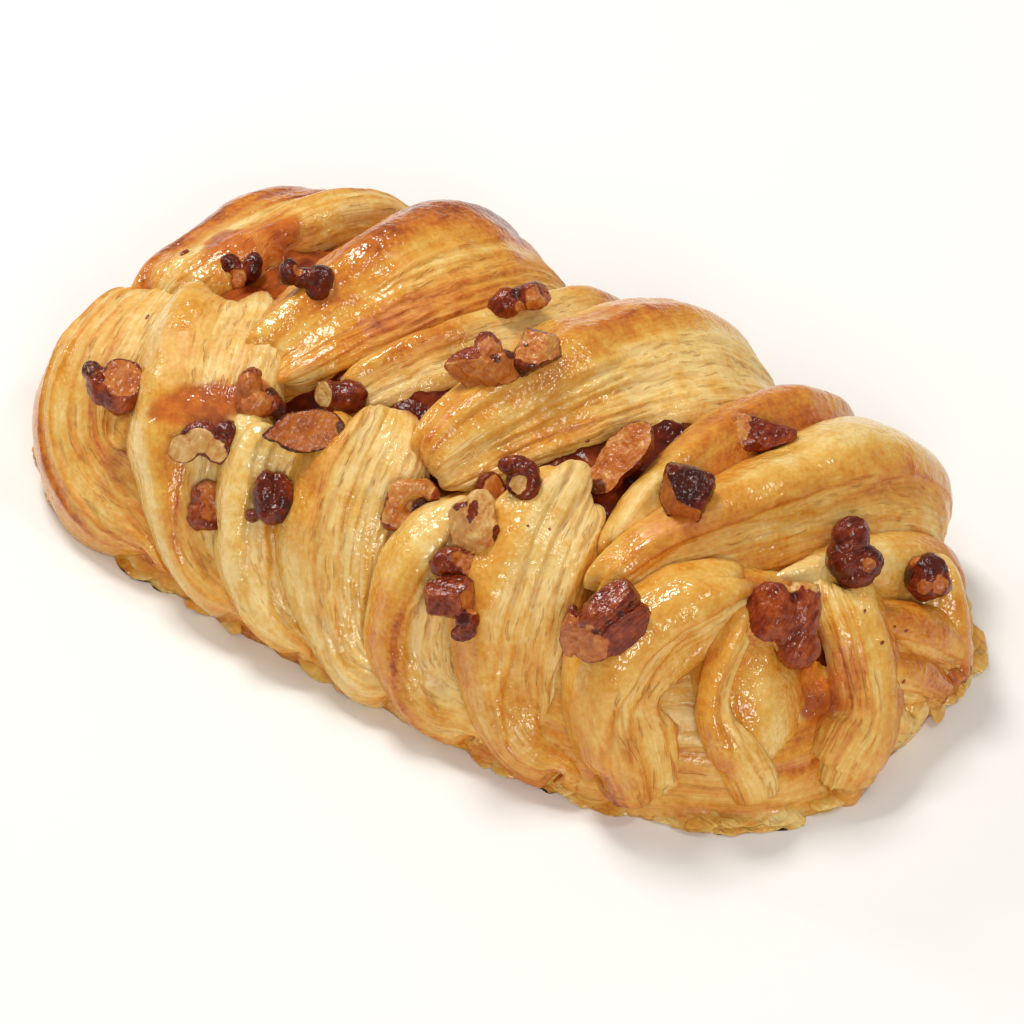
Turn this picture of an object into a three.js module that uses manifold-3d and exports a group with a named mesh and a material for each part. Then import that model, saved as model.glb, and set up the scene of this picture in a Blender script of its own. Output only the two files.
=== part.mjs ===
// A pecan braid: a Danish pastry sheet folded round a syrup filling. Its side flaps cross the top in turn,
// puffed and ridged by their layers, and chopped pecans lie on top.
// Millimetres, +Z up, +X along the loaf, origin at the middle of the flat base.
import * as THREE from "three";
import { mergeVertices } from "three/addons/utils/BufferGeometryUtils.js";
import Module from "manifold-3d";

const wasm = await Module();
wasm.setup();

// The whole loaf
const LENGTH = 140;
const WIDTH = 77;
const HEIGHT = 35;
const PLAN_SQUARENESS = 3.35;
const DOME_SQUARENESS = 2.35;

// The dough sheet below the flaps, turned up at its rim like a boat
const BOAT_LENGTH = 137.5;
const BOAT_WIDTH = 74;
const BOAT_HEIGHT = 25;
const BOAT_RIPPLE = 0.35;

// The syrup filling that lies along the boat and shows between the flaps
const FILLING_LENGTH = 124;
const FILLING_WIDTH = 46;
const FILLING_FLOOR = 6;
const FILLING_TOP = 29;
const FILLING_LUMP = 0.7;

// Clearances
const FILLING_GAP = 0.35;
const PECAN_GAP = 0.35;

// A flap's section
const FLAP_CROWN = 5.5;
const FLAP_DEPTH = 7.5;
const FLAP_SQUARENESS = 2.6;
const FLAP_END_SQUARENESS = 6;
const FLAP_FOOT_HEIGHT = 4;
const FLAP_TUCKED_SHARE = 0.3;
const CREST_RISE = 1.1;
const CREST_PLACE = -0.45;
const FACE_DIP = 0.8;
const FACE_PLACE = 0.4;
const LAYER_RIDGE = 0.8;
const LAYER_RIDGES = 2;

// Mesh fineness
const FLAP_AROUND = 23;
const CROWDING = 0.45;
const FLAP_ALONG = 12;
const BODY_AROUND = 38;
const BODY_DOWN = 10;

// Flaps of dough. Each runs from its foot on the rim, through a middle point, to its tip on top: plan places,
// widths there, how far it lies below the loaf's dome, how much further its foot is tucked under the next flap,
// and how far it rolls over towards +X in degrees.
const FLAPS = [
  { foot: [-48, 34.5], middle: [-53, 12], tip: [-56, -10], widths: [26, 18, 16], sunk: 0.6, tucked: 0, roll: -6 },
  { foot: [-18.5, 38.2], middle: [-22.4, 12], tip: [-28.5, -16], widths: [29, 26, 17], sunk: 1, tucked: 0, roll: 12 },
  { foot: [1, 38.5], middle: [-4.5, 10], tip: [-15.5, -17], widths: [15, 12, 8], sunk: 3.2, tucked: 0, roll: 10 },
  { foot: [19, 38.3], middle: [12, 7], tip: [4, -20], widths: [30, 25, 15], sunk: 1, tucked: 0, roll: 14 },
  { foot: [38, 36.6], middle: [34, 6], tip: [33.5, -17], widths: [16, 13, 9], sunk: 1.2, tucked: 0, roll: 8 },
  { foot: [53, 32.5], middle: [47, 7], tip: [35, -24], widths: [23, 18, 10], sunk: 0.6, tucked: 0, roll: 15 },
  { foot: [66, 21], middle: [60, 9], tip: [53, -4], widths: [18, 14, 9], sunk: 2.8, tucked: 0, roll: 6 },
  { foot: [-28, -38], middle: [-51.5, -31], tip: [-58, -8], widths: [14, 24, 21], sunk: 0.9, tucked: 0.8, roll: 4 },
  { foot: [-13, -38.4], middle: [-26.3, -35.4], tip: [-42, -8], widths: [12, 18, 22], sunk: 0.3, tucked: 0.8, roll: 10 },
  { foot: [-2, -38.5], middle: [-13.6, -36.3], tip: [-19.5, -24], widths: [11, 15, 14], sunk: 0.6, tucked: 0.8, roll: 12 },
  { foot: [13, -38.4], middle: [-1.2, -36.4], tip: [-7, -18], widths: [12, 18, 20], sunk: 0.5, tucked: 0.8, roll: 13 },
  { foot: [27, -38], middle: [12.8, -36.4], tip: [14.5, -22], widths: [12, 18, 12], sunk: 0.6, tucked: 0.8, roll: 15 },
  { foot: [41, -36.6], middle: [28.2, -35.9], tip: [22, -12.5], widths: [13, 18, 15], sunk: 0.3, tucked: 0.8, roll: 15 },
  { foot: [49.5, -34.6], middle: [44.4, -31.8], tip: [50.3, -11], widths: [13, 17, 10], sunk: 0.2, tucked: 0.8, roll: 12 },
  { foot: [64, -25.5], middle: [55.5, -24], tip: [53, -14], widths: [8, 6.5, 6], sunk: 0.8, tucked: 0, roll: 0 },
  { foot: [67.5, -17], middle: [67, -5], tip: [60, 3], widths: [20, 18, 12], sunk: -0.4, tucked: 0, roll: 8 },
  { foot: [69.5, 12], middle: [67, 14], tip: [60, 17], widths: [22, 17, 12], sunk: 0.3, tucked: 0, roll: 0 },
];

// Chopped pecans: plan place, length, breadth and height, and the turn of the length from +X in degrees
const PECANS = [
  { at: [-44.7, -27.2], size: [9.5, 8, 7.5], turn: 20 },
  { at: [-42, -2.5], size: [8, 6, 6], turn: 30 },
  { at: [-30.7, -2.6], size: [9, 6, 5.5], turn: 20 },
  { at: [-23, -23.1], size: [9.5, 7, 5], turn: 75 },
  { at: [-12.3, -18.8], size: [9, 6.5, 5.5], turn: 30 },
  { at: [-13.5, -25.2], size: [12.5, 7, 5.5], turn: 40 },
  { at: [-27.2, -30], size: [10, 7, 5.5], turn: 38 },
  { at: [-23.4, -34.5], size: [8, 6.5, 5], turn: 70 },
  { at: [-14.1, -32.1], size: [8.5, 7, 6.5], turn: 80 },
  { at: [-2.6, 12.4], size: [10.5, 6.5, 5.5], turn: 45 },
  { at: [2.2, -3.8], size: [10.5, 8.5, 7], turn: 40 },
  { at: [5.2, 2.2], size: [8, 6.5, 6], turn: 40 },
  { at: [5.6, -26.5], size: [9, 7.5, 5], turn: 40 },
  { at: [14.2, -20.2], size: [5.5, 5, 4.5], turn: 100 },
  { at: [18.2, -16], size: [7, 6, 5], turn: 40 },
  { at: [15.6, -25.2], size: [8.5, 7.5, 5], turn: 60 },
  { at: [15.4, -30], size: [8.5, 5.4, 5.5], turn: 40 },
  { at: [17.8, -32.6], size: [8.5, 6, 5.5], turn: 40 },
  { at: [21, -34], size: [5, 4.5, 4.5], turn: 50 },
  { at: [26, -3.6], size: [12.5, 9, 8], turn: 60 },
  { at: [35.8, -5.8], size: [9, 8, 7.5], turn: 20 },
  { at: [36.2, 10.2], size: [10, 6.5, 5], turn: 30 },
  { at: [38.4, -26.4], size: [13, 9.5, 8.5], turn: 60 },
  { at: [54.9, -10], size: [12.5, 9.5, 7.5], turn: 60 },
  { at: [55.5, 4.7], size: [10.5, 7.5, 7.5], turn: 90 },
  { at: [62.7, 12.5], size: [7, 6.5, 6.5], turn: 40 },
];
const PECAN_SUNK = 0.24;
const PECAN_PROBES = 8;
const PECAN_PROBE_REACH = 0.32;
const PECAN_HELD_BY = 3;
const PECAN_FACETING = 1;
const PECAN_GROOVE = 0.34;
const PECAN_CHOP = 0.6;

// Materials
const dough = new THREE.MeshStandardMaterial({ color: 0xd9a04e, roughness: 0.45, metalness: 0 });
const syrup = new THREE.MeshStandardMaterial({ color: 0x8a4314, roughness: 0.25, metalness: 0 });
const nut = new THREE.MeshStandardMaterial({ color: 0x7a3f1c, roughness: 0.4, metalness: 0 });

// Helpers between three.js geometry and closed solids
function solidOf(geometry) {
  const bare = geometry.clone();
  bare.deleteAttribute("normal");
  bare.deleteAttribute("uv");
  const merged = mergeVertices(bare, 1e-4);
  const vertProperties = new Float32Array(merged.attributes.position.array);
  const triVerts = new Uint32Array(merged.index.array);
  return new wasm.Manifold(new wasm.Mesh({ numProp: 3, vertProperties, triVerts }));
}

function geometryOf(solid) {
  const mesh = solid.getMesh();
  const geometry = new THREE.BufferGeometry();
  geometry.setAttribute("position", new THREE.BufferAttribute(mesh.vertProperties, 3));
  geometry.setIndex(new THREE.BufferAttribute(mesh.triVerts, 1));
  geometry.computeVertexNormals();
  return geometry;
}

// The largest body of a solid: loose scraps and the walls of sealed bubbles are left off.
function largest(solid) {
  return solid.decompose().reduce((a, b) => (b.volume() > a.volume() ? b : a));
}

function signedPower(value, power) {
  return Math.sign(value) * Math.abs(value) ** power;
}

// A smooth wander between -1 and 1 that differs for each seed
function wander(seed, place) {
  const slow = Math.sin(place * 2.3 + seed * 1.7);
  const quick = Math.sin(place * 5.1 + seed * 4.3);
  return 0.65 * slow + 0.35 * quick;
}

// The loaf's dome
function domeHeight(x, y) {
  const along = Math.abs((2 * x) / LENGTH) ** PLAN_SQUARENESS;
  const across = Math.abs((2 * y) / WIDTH) ** PLAN_SQUARENESS;
  const out = Math.min(1, (along + across) ** (1 / PLAN_SQUARENESS));
  return HEIGHT * (1 - out ** DOME_SQUARENESS) ** (1 / DOME_SQUARENESS);
}

function domeNormal(point) {
  const along = Math.abs((2 * point.x) / LENGTH);
  const across = Math.abs((2 * point.y) / WIDTH);
  const out = Math.max(1e-6, (along ** PLAN_SQUARENESS + across ** PLAN_SQUARENESS) ** (1 / PLAN_SQUARENESS));
  const plan = out ** (DOME_SQUARENESS - PLAN_SQUARENESS);
  const nx = (plan * along ** (PLAN_SQUARENESS - 1) * 2 * Math.sign(point.x)) / LENGTH;
  const ny = (plan * across ** (PLAN_SQUARENESS - 1) * 2 * Math.sign(point.y)) / WIDTH;
  const nz = (Math.max(0, point.z) / HEIGHT) ** (DOME_SQUARENESS - 1) / HEIGHT;
  return new THREE.Vector3(nx, ny, nz).normalize();
}

// A body with a superellipse plan and a domed top, closed by its mirror image below
function domeBody({ length, width, top, floor, lump, lumps }) {
  const geometry = new THREE.SphereGeometry(1, BODY_AROUND, BODY_DOWN);
  const position = geometry.attributes.position;
  for (let i = 0; i < position.count; i++) {
    const side = new THREE.Vector3(-position.getX(i), position.getZ(i), position.getY(i));
    const ring = Math.hypot(side.x, side.y);
    const turn = Math.atan2(side.y, side.x);
    const reach = Math.max(0, ring) ** (2 / DOME_SQUARENESS) * (1 + (lump / width) * 2 * Math.sin(lumps * turn));
    const x = (length / 2) * signedPower(Math.cos(turn), 2 / PLAN_SQUARENESS) * reach;
    const y = (width / 2) * signedPower(Math.sin(turn), 2 / PLAN_SQUARENESS) * reach;
    const swell = lump * Math.sin(x * 0.33) * Math.cos(y * 0.41) * Math.max(0, side.z);
    const z = floor + (top - floor) * signedPower(side.z, 2 / DOME_SQUARENESS) + swell;
    position.setXYZ(i, x, y, z);
  }
  return solidOf(geometry);
}

function blockBelow(height) {
  const block = new THREE.BoxGeometry(LENGTH * 2, WIDTH * 2, HEIGHT * 2);
  block.translate(0, 0, height - HEIGHT);
  return solidOf(block);
}

// Angles round a flap's section, drawn together over its crown, where the layers show
function crowded(angle) {
  return angle + CROWDING * Math.cos(angle);
}

// The line that a flap follows, on the dome and inside it by the flap's crown
function flapLine(flap) {
  const plan = new THREE.CatmullRomCurve3(
    [flap.foot, flap.middle, flap.tip].map(([x, y]) => new THREE.Vector3(x, y, 0)),
  );
  const steps = 26;
  const points = [];
  for (let k = 0; k <= steps; k++) {
    const share = (k / steps) ** 2;
    const point = plan.getPoint(share);
    point.z = Math.max(domeHeight(point.x, point.y), FLAP_FOOT_HEIGHT);
    const tucked = flap.tucked * Math.max(0, 1 - share / FLAP_TUCKED_SHARE) ** 2;
    point.addScaledVector(domeNormal(point), -FLAP_CROWN - flap.sunk - tucked);
    points.push(point);
  }
  return new THREE.CatmullRomCurve3(points);
}

// A flap: a sphere drawn out along the flap's line, with blunt ends and ridged by the dough's layers
function flapSolid(flap, seed) {
  const line = flapLine(flap);
  const side = flap.foot[1] > flap.tip[1] ? -1 : 1;
  const width = (q) => {
    const [foot, middle, tip] = flap.widths;
    return q < 0.5 ? foot + (middle - foot) * 2 * q : middle + (tip - middle) * (2 * q - 1);
  };
  const roll = THREE.MathUtils.degToRad(flap.roll);
  const geometry = new THREE.SphereGeometry(1, FLAP_AROUND, FLAP_ALONG);
  const position = geometry.attributes.position;
  for (let i = 0; i < position.count; i++) {
    const q = (1 - position.getY(i)) / 2;
    const angle = crowded(side * Math.atan2(position.getZ(i), -position.getX(i)));
    const end = Math.max(0, 1 - Math.abs(2 * q - 1) ** FLAP_END_SQUARENESS) ** (1 / FLAP_END_SQUARENESS);
    const tube = Math.hypot(position.getX(i), position.getZ(i)) > 1e-6 ? end : 0;
    const middle = line.getPointAt(q);
    const tangent = line.getTangentAt(q);
    const outward = domeNormal(middle);
    const across = tangent.clone().cross(outward).normalize().multiplyScalar(side);
    const up = across.clone().cross(tangent).normalize().multiplyScalar(side);
    const flat = signedPower(Math.cos(angle), 2 / FLAP_SQUARENESS);
    const tall = signedPower(Math.sin(angle), 2 / FLAP_SQUARENESS);
    const lateral = (width(q) / 2) * flat * tube;
    const layers = Math.cos(2 * Math.PI * LAYER_RIDGES * flat + seed + 0.6 * wander(seed, 3 * q));
    const ridge = LAYER_RIDGE * Math.min(1, width(q) / 16) * layers * Math.max(0, tall) * tube;
    const crest = CREST_RISE * Math.exp(-(((flat - CREST_PLACE) / 0.32) ** 2));
    const dip = FACE_DIP * Math.exp(-(((flat - FACE_PLACE) / 0.4) ** 2));
    const swell = (crest - dip) * Math.max(0, tall) * tube;
    const normal = (tall > 0 ? FLAP_CROWN : FLAP_DEPTH) * tall * tube + ridge + swell;
    const turnedAcross = lateral * Math.cos(roll) + normal * Math.sin(roll);
    const turnedUp = normal * Math.cos(roll) - lateral * Math.sin(roll);
    const point = middle.addScaledVector(across, turnedAcross).addScaledVector(up, turnedUp);
    position.setXYZ(i, point.x, point.y, point.z);
  }
  return solidOf(geometry);
}

const ground = blockBelow(0);
const boat = domeBody({
  length: BOAT_LENGTH,
  width: BOAT_WIDTH,
  top: BOAT_HEIGHT,
  floor: 0,
  lump: BOAT_RIPPLE,
  lumps: 23,
});
const filling = (grow) =>
  domeBody({
    length: FILLING_LENGTH + 2 * grow,
    width: FILLING_WIDTH + 2 * grow,
    top: FILLING_TOP + grow,
    floor: FILLING_FLOOR - grow,
    lump: FILLING_LUMP,
    lumps: 17,
  }).subtract(blockBelow(FILLING_FLOOR - grow));

const flaps = FLAPS.map((flap, k) => flapSolid(flap, k + 1));
const dressed = largest(wasm.Manifold.union([boat, ...flaps]).subtract(ground));
const pastry = largest(dressed.subtract(filling(FILLING_GAP)));
const core = filling(0);

const braid = new THREE.Group();
function addMesh(name, solid, material) {
  const mesh = new THREE.Mesh(geometryOf(solid), material);
  mesh.name = name;
  braid.add(mesh);
}

// A chopped pecan: an uneven lump with a groove along its back and two chopped faces
function pecanGeometry(pecan, seed, grow) {
  const geometry = new THREE.IcosahedronGeometry(1, PECAN_FACETING);
  const position = geometry.attributes.position;
  const point = new THREE.Vector3();
  const chops = [0, 1].map((k) =>
    new THREE.Vector3(Math.cos(seed * 2.1 + 2.6 * k), Math.sin(seed * 2.1 + 2.6 * k), 0.35 * Math.sin(seed + k)),
  );
  for (let i = 0; i < position.count; i++) {
    point.fromBufferAttribute(position, i).normalize();
    const lobe = 1 + 0.1 * Math.sin(3 * point.x + seed) + 0.08 * Math.sin(5 * point.y + 2 * seed);
    const groove = PECAN_GROOVE * Math.exp(-((point.y / 0.3) ** 2)) * Math.max(0, point.z);
    point.multiplyScalar(lobe - groove);
    for (const chop of chops) {
      const over = point.dot(chop) / chop.lengthSq() - PECAN_CHOP;
      if (over > 0) point.addScaledVector(chop, -0.85 * over);
    }
    point.multiply(new THREE.Vector3(...pecan.size).multiplyScalar(0.5).addScalar(grow));
    position.setXYZ(i, point.x, point.y, point.z);
  }
  return geometry;
}

// A pecan's place: its underside pressed into the highest dough below it, square to the loaf's dome, so that
// a piece over a gap is held by the gap's sides
function pecanPlace(pecan, seats) {
  const above = new THREE.Vector3(pecan.at[0], pecan.at[1], domeHeight(...pecan.at));
  const outward = domeNormal(above);
  const turned = new THREE.Quaternion().setFromAxisAngle(
    new THREE.Vector3(0, 0, 1),
    THREE.MathUtils.degToRad(pecan.turn),
  );
  const lean = new THREE.Quaternion().setFromUnitVectors(new THREE.Vector3(0, 0, 1), outward).multiply(turned);
  const drops = [];
  for (let k = 0; k < PECAN_PROBES; k++) {
    const angle = (2 * Math.PI * k) / PECAN_PROBES;
    const probe = new THREE.Vector3(Math.cos(angle) * pecan.size[0], Math.sin(angle) * pecan.size[1], 0);
    const from = above.clone().addScaledVector(outward, HEIGHT);
    from.add(probe.multiplyScalar(PECAN_PROBE_REACH).applyQuaternion(lean));
    const hit = new THREE.Raycaster(from, outward.clone().negate()).intersectObjects(seats)[0];
    if (hit) drops.push(hit.distance);
  }
  drops.sort((a, b) => a - b);
  const level = HEIGHT - drops[PECAN_HELD_BY - 1] + pecan.size[2] * (0.5 - PECAN_SUNK);
  return new THREE.Matrix4().compose(
    above.addScaledVector(outward, level),
    lean,
    new THREE.Vector3(1, 1, 1),
  );
}

const seats = [pastry, core].map((solid) => new THREE.Mesh(geometryOf(solid), dough));
const hollows = [];
PECANS.forEach((pecan, k) => {
  const place = pecanPlace(pecan, seats);
  let solid = solidOf(pecanGeometry(pecan, k + 1, 0).applyMatrix4(place));
  for (const hollow of hollows) solid = solid.subtract(hollow);
  addMesh("pecan_" + String(k + 1).padStart(2, "0"), largest(solid), nut);
  hollows.push(solidOf(pecanGeometry(pecan, k + 1, PECAN_GAP).applyMatrix4(place)));
});
const pockets = wasm.Manifold.union(hollows);
addMesh("pastry", largest(pastry.subtract(pockets)), dough);
addMesh("filling", largest(core.subtract(pockets)), syrup);

// The loaf's box is centred over the origin
const box = new THREE.Box3().setFromObject(braid);
const middle = box.getCenter(new THREE.Vector3());
for (const mesh of braid.children) mesh.geometry.translate(-middle.x, -middle.y, 0);

export default braid;
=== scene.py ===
import math

import bmesh
import bpy
import numpy as np
from mathutils import Matrix, Vector


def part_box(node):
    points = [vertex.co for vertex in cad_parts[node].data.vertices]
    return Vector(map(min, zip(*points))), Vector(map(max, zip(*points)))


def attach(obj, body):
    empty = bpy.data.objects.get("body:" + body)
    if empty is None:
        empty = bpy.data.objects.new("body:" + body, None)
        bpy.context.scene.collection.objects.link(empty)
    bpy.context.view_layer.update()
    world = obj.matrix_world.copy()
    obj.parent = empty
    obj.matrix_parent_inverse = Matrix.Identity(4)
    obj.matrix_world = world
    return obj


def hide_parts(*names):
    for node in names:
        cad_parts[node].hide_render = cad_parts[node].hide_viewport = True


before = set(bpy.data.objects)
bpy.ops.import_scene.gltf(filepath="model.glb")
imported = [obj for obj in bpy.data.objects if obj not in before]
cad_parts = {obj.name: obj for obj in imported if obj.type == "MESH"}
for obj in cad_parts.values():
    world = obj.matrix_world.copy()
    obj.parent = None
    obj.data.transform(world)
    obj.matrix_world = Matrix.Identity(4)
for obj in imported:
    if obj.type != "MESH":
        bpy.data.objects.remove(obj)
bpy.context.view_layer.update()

# Camera: a long lens well above the loaf's near right-hand corner, as in the photograph.
# The loaf fills the frame from side to side and sits a little above its middle.
# PLAN_SHIFT is where the middle of the loaf's plan lies in the frame, in millimetres.
MM = 0.001
PLAN_SHIFT = np.array([-0.64, 0.63, 0.0])
VIEW_DISTANCE = 0.9
AIM_HEIGHT = 14.0
AIM_RIGHT = 1.961
AIM_DOWN = 7.017


def add_object(name, data):
    thing = bpy.data.objects.new(name, data)
    bpy.context.scene.collection.objects.link(thing)
    return thing


view_turn = math.radians(37.5)
view_rise = math.radians(41.0)
view_right = Vector((math.cos(view_turn), math.sin(view_turn), 0.0))
view_flat = Vector((-math.sin(view_turn), math.cos(view_turn), 0.0))
view_up = view_flat * math.sin(view_rise) + Vector((0.0, 0.0, math.cos(view_rise)))
view_back = view_right.cross(view_up)
aim = Vector(PLAN_SHIFT) + Vector((0.0, 0.0, AIM_HEIGHT)) + AIM_RIGHT * view_right - AIM_DOWN * view_up
view_axes = Matrix((view_right, view_up, view_back)).transposed().to_4x4()
camera = add_object("camera", bpy.data.cameras.new("camera"))
camera.data.sensor_width = 36.0
camera.data.lens = 231.03
camera.data.clip_start = 0.05
camera.matrix_world = Matrix.Translation(aim * MM + VIEW_DISTANCE * view_back) @ view_axes
bpy.context.scene.camera = camera
bpy.context.scene.view_settings.view_transform = "Standard"

# Studio: a pale seamless floor, lights from behind, the left and above, and a wide soft one in front.
# The floor is a matt painted sheet, and the room is a warm pale grey that opens up the shadows.
LIGHT_AIM = Vector((0.0, 0.0, 0.015))


def studio_light(name, place, size, power, colour):
    lamp = add_object(name, bpy.data.lights.new(name, "AREA"))
    lamp.data.size = size
    lamp.data.energy = power
    lamp.data.color = colour
    lamp.location = place
    lamp.rotation_euler = (LIGHT_AIM - Vector(place)).to_track_quat("-Z", "Y").to_euler()


studio_light("key_light", (-0.30, 0.10, 0.60), 0.17, 2.6, (1.0, 0.975, 0.93))
studio_light("front_light", (0.5, -0.52, 0.46), 0.25, 2.3, (1.0, 0.985, 0.95))
studio_light("left_light", (-0.75, -0.05, 0.45), 0.12, 0.9, (1.0, 0.975, 0.93))
studio_light("high_light", (0.40, 0.15, 0.75), 0.12, 0.9, (1.0, 0.985, 0.95))
room = bpy.data.worlds.new("room")
room.use_nodes = True
room.node_tree.nodes["Background"].inputs["Color"].default_value = (1.0, 0.97, 0.91, 1.0)
room.node_tree.nodes["Background"].inputs["Strength"].default_value = 0.31
bpy.context.scene.world = room


class Wire:
    """A socket in a material. Sums on wires add Math nodes."""

    def __init__(self, tree, socket):
        self.tree = tree
        self.socket = socket

    def sum(self, operation, first, second):
        made = Nodes(self.tree).make("ShaderNodeMath", {"operation": operation}, {0: first, 1: second})
        return made["Value"]

    def __add__(self, other):
        return self.sum("ADD", self, other)

    def __sub__(self, other):
        return self.sum("SUBTRACT", self, other)

    def __rsub__(self, other):
        return self.sum("SUBTRACT", other, self)

    def __mul__(self, other):
        return self.sum("MULTIPLY", self, other)

    __radd__ = __add__
    __rmul__ = __mul__


class Nodes:
    """A material's node tree and its shader, with one method that makes any node."""

    def __init__(self, tree):
        self.tree = tree
        self.shader = tree.nodes["Principled BSDF"]

    def make(self, kind, settings=None, sockets=None):
        node = self.tree.nodes.new(kind)
        for key, value in (settings or {}).items():
            if key == "stops":
                ramp = node.color_ramp
                while len(ramp.elements) < len(value):
                    ramp.elements.new(1.0)
                for stop, (place, colour) in zip(ramp.elements, value):
                    stop.position = place
                    stop.color = (*colour, 1.0)
            else:
                setattr(node, key, value)
        for key, value in (sockets or {}).items():
            if isinstance(value, Wire):
                self.tree.links.new(value.socket, node.inputs[key])
            else:
                node.inputs[key].default_value = value
        return {out.name: Wire(self.tree, out) for out in node.outputs if out.enabled}

    def attribute(self, name, output="Fac"):
        return self.make("ShaderNodeAttribute", {"attribute_name": name})[output]

    def blend(self, share, first, second):
        sockets = {"Factor": share, 6: first, 7: second}
        return self.make("ShaderNodeMix", {"data_type": "RGBA"}, sockets)["Result"]

    def band(self, value, low, high):
        sockets = {"Value": value, "From Min": low, "From Max": high}
        return self.make("ShaderNodeMapRange", {"interpolation_type": "SMOOTHSTEP"}, sockets)["Result"]

    def noise(self, place, scale, detail, roughness=0.5):
        sockets = {"Vector": place, "Scale": scale, "Detail": detail, "Roughness": roughness}
        return self.make("ShaderNodeTexNoise", {}, sockets)["Fac"]

    def stretch(self, place, scale):
        return self.make("ShaderNodeMapping", {}, {"Vector": place, "Scale": scale})["Vector"]

    def ramp(self, value, *stops):
        """A colour for each value; a stop is its place, then red, green and blue out of 255."""
        stops = [(place, linear(*shade)) for place, *shade in stops]
        return self.make("ShaderNodeValToRGB", {"stops": stops}, {"Fac": value})["Color"]

    def bump(self, height, strength, distance):
        sockets = {"Strength": strength, "Distance": distance, "Height": height}
        return self.make("ShaderNodeBump", {}, sockets)["Normal"]

    def feed(self, name, value):
        """Links a wire to one of the shader's sockets, or sets a number there."""
        if isinstance(value, Wire):
            self.tree.links.new(value.socket, self.shader.inputs[name])
        else:
            self.shader.inputs[name].default_value = value


def linear(red, green, blue):
    return tuple(((c / 255 + 0.055) / 1.055) ** 2.4 for c in (red, green, blue))


def new_material(name):
    material = bpy.data.materials.new(name)
    material.use_nodes = True
    return material, Nodes(material.node_tree)


def made_mesh(name, shape):
    mesh = bpy.data.meshes.new(name)
    shape.to_mesh(mesh)
    shape.free()
    return mesh


sheet = bmesh.new()
bmesh.ops.create_grid(sheet, x_segments=1, y_segments=1, size=3.0)
floor_mesh = made_mesh("floor", sheet)
floor = add_object("floor", floor_mesh)
floor_paint, floor_nodes = new_material("floor_paint")
paint_cloud = floor_nodes.make("ShaderNodeTexNoise", {}, {"Scale": 3.0})["Fac"]
floor_nodes.feed("Base Color", floor_nodes.blend(paint_cloud, (0.92, 0.92, 0.915, 1), (0.94, 0.94, 0.94, 1)))
floor_nodes.feed("Roughness", 0.8)
floor_mesh.materials.append(floor_paint)

# Dough flaps: strips cut in the sides of a laminated dough sheet, crossed over the loaf in turn and baked.
# Each has a smooth egg-washed crust along its left edge and a cut face on its right, where the layers show
# as fine leaves with slits between them. The crust is golden and glazed; the cut face is paler and drier.
LENGTH = 140.0
WIDTH = 77.0
HEIGHT = 35.0
PLAN_SQUARENESS = 3.35
DOME_SQUARENESS = 2.35
FLAP_CROWN = 5.5
FLAP_DEPTH = 7.5
FLAP_SQUARENESS = 2.6
FLAP_END_SQUARENESS = 6.0
FLAP_FOOT_HEIGHT = 3.0
FLAP_TUCKED_SHARE = 0.3
CREST_RISE = 1.1
CREST_PLACE = -0.45
FACE_DIP = 0.8
FACE_PLACE = 0.4
CROWDING = 0.6
SQUEEZE = 1.3
BEND_REACH = 2.0
FACE_SPREAD = 3.2
EDGE_SOFTNESS = 1.2
LEAF_STEPS = 12
LINE_POINTS = 600
POINTS_AROUND = 8.6
POINTS_ALONG = 3.4

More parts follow.
